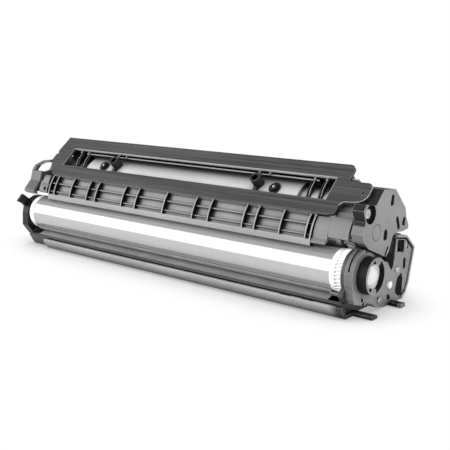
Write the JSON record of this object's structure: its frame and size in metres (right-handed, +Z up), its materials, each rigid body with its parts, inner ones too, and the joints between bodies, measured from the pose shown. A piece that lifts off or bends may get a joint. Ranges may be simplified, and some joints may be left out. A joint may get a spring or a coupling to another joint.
{
  "type": "toner cartridge",
  "caption": "Long printer toner cartridge with a smooth imaging drum under a ribbed paper guide, a windowed top plate and a hubbed drive end.",
  "frame": {"origin": "under the middle of the bounding box, on the plane the flat underside rests on", "axes": "+X along the drum to its drive end, +Y from the drum to the back, +Z up"},
  "size_m": [0.3644, 0.0912, 0.0944],
  "materials": {
    "shell_plastic": "fine moulded grain",
    "plate_plastic": "satin",
    "hopper_plastic": "satin",
    "white_plastic": "satin",
    "bearing_plastic": "satin",
    "drum_coating": "smooth gloss coating",
    "sleeve_metal": "bead blasted",
    "bright_steel": "bright plated",
    "magnet": "dull",
    "black_rubber": "matt",
    "blade_rubber": "matt",
    "film": "gloss film",
    "copper": "rolled"
  },
  "bodies": {
    "drum_unit": {"drum_frame": "shell_plastic", "lower_guide_rail": "shell_plastic", "right_bearing_housing": "shell_plastic", "left_bracket": "shell_plastic", "drum_pin": "bright_steel", "hinge_pins": "bright_steel", "charge_contact_pin": "white_plastic", "housing_screws": "bright_steel", "charge_roller_bearings": "bearing_plastic", "charge_roller_springs": "bright_steel", "blade_bracket": "bright_steel", "cleaning_blade": "blade_rubber", "blade_screws": "bright_steel", "recovery_sheet": "film", "pressure_springs": "bright_steel"},
    "drum": {"drum_tube": "drum_coating", "drum_gear_flange": "white_plastic", "drum_left_flange": "white_plastic", "drum_ground_strip": "copper"},
    "toner_unit": {"toner_hopper": "hopper_plastic", "hopper_lid": "hopper_plastic", "agitator_cap": "bearing_plastic", "lid_screws": "bright_steel", "lid_screw_washers": "bright_steel", "top_plate": "plate_plastic", "front_guide": "shell_plastic", "right_front_panel": "shell_plastic", "right_guide_strip": "shell_plastic", "left_front_panel": "shell_plastic", "magnet_core": "magnet", "roller_bearings": "bearing_plastic", "doctor_blade": "bright_steel", "doctor_blade_bracket": "bright_steel", "right_end_cover": "shell_plastic", "end_cover_screw": "bright_steel", "left_end_cover": "shell_plastic"},
    "developer_roller": {"developer_sleeve": "sleeve_metal", "sleeve_drive_shaft": "bright_steel", "sleeve_end_cap": "bearing_plastic", "spacer_rings": "bearing_plastic", "developer_gear": "white_plastic"},
    "agitator": {"agitator_shaft": "bearing_plastic", "agitator_sheet": "film", "agitator_gear": "white_plastic"},
    "charge_roller_unit": {"charge_roller": "black_rubber", "charge_roller_shaft": "bright_steel"}
  },
  "joints": [
    {"name": "drum_spin", "type": "hinge", "parent": "drum_unit", "child": "drum", "pos_m": [-0.00425, -0.0236, 0.0282], "axis": [1, 0, 0], "continuous": true},
    {"name": "unit_pivot", "type": "hinge", "parent": "drum_unit", "child": "toner_unit", "pos_m": [-0.00425, 0.0331, 0.0375], "axis": [-1, 0, 0], "range_deg": [0, 2], "deforming": ["pressure_springs"]},
    {"name": "developer_spin", "type": "hinge", "parent": "toner_unit", "child": "developer_roller", "pos_m": [-0.00425, -0.01412, 0.04949], "axis": [1, 0, 0], "continuous": true},
    {"name": "agitator_spin", "type": "hinge", "parent": "toner_unit", "child": "agitator", "pos_m": [-0.00425, 0.00581, 0.05807], "axis": [1, 0, 0], "continuous": true},
    {"name": "charge_spin", "type": "hinge", "parent": "drum_unit", "child": "charge_roller_unit", "pos_m": [-0.00425, -0.00251, 0.02524], "axis": [1, 0, 0], "continuous": true}
  ],
  "couplings": [
    {"joint": "developer_spin", "follows": "drum_spin", "ratio": -1.6364},
    {"joint": "agitator_spin", "follows": "drum_spin", "ratio": 1.125},
    {"joint": "charge_spin", "follows": "drum_spin", "ratio": -2.5}
  ]
}
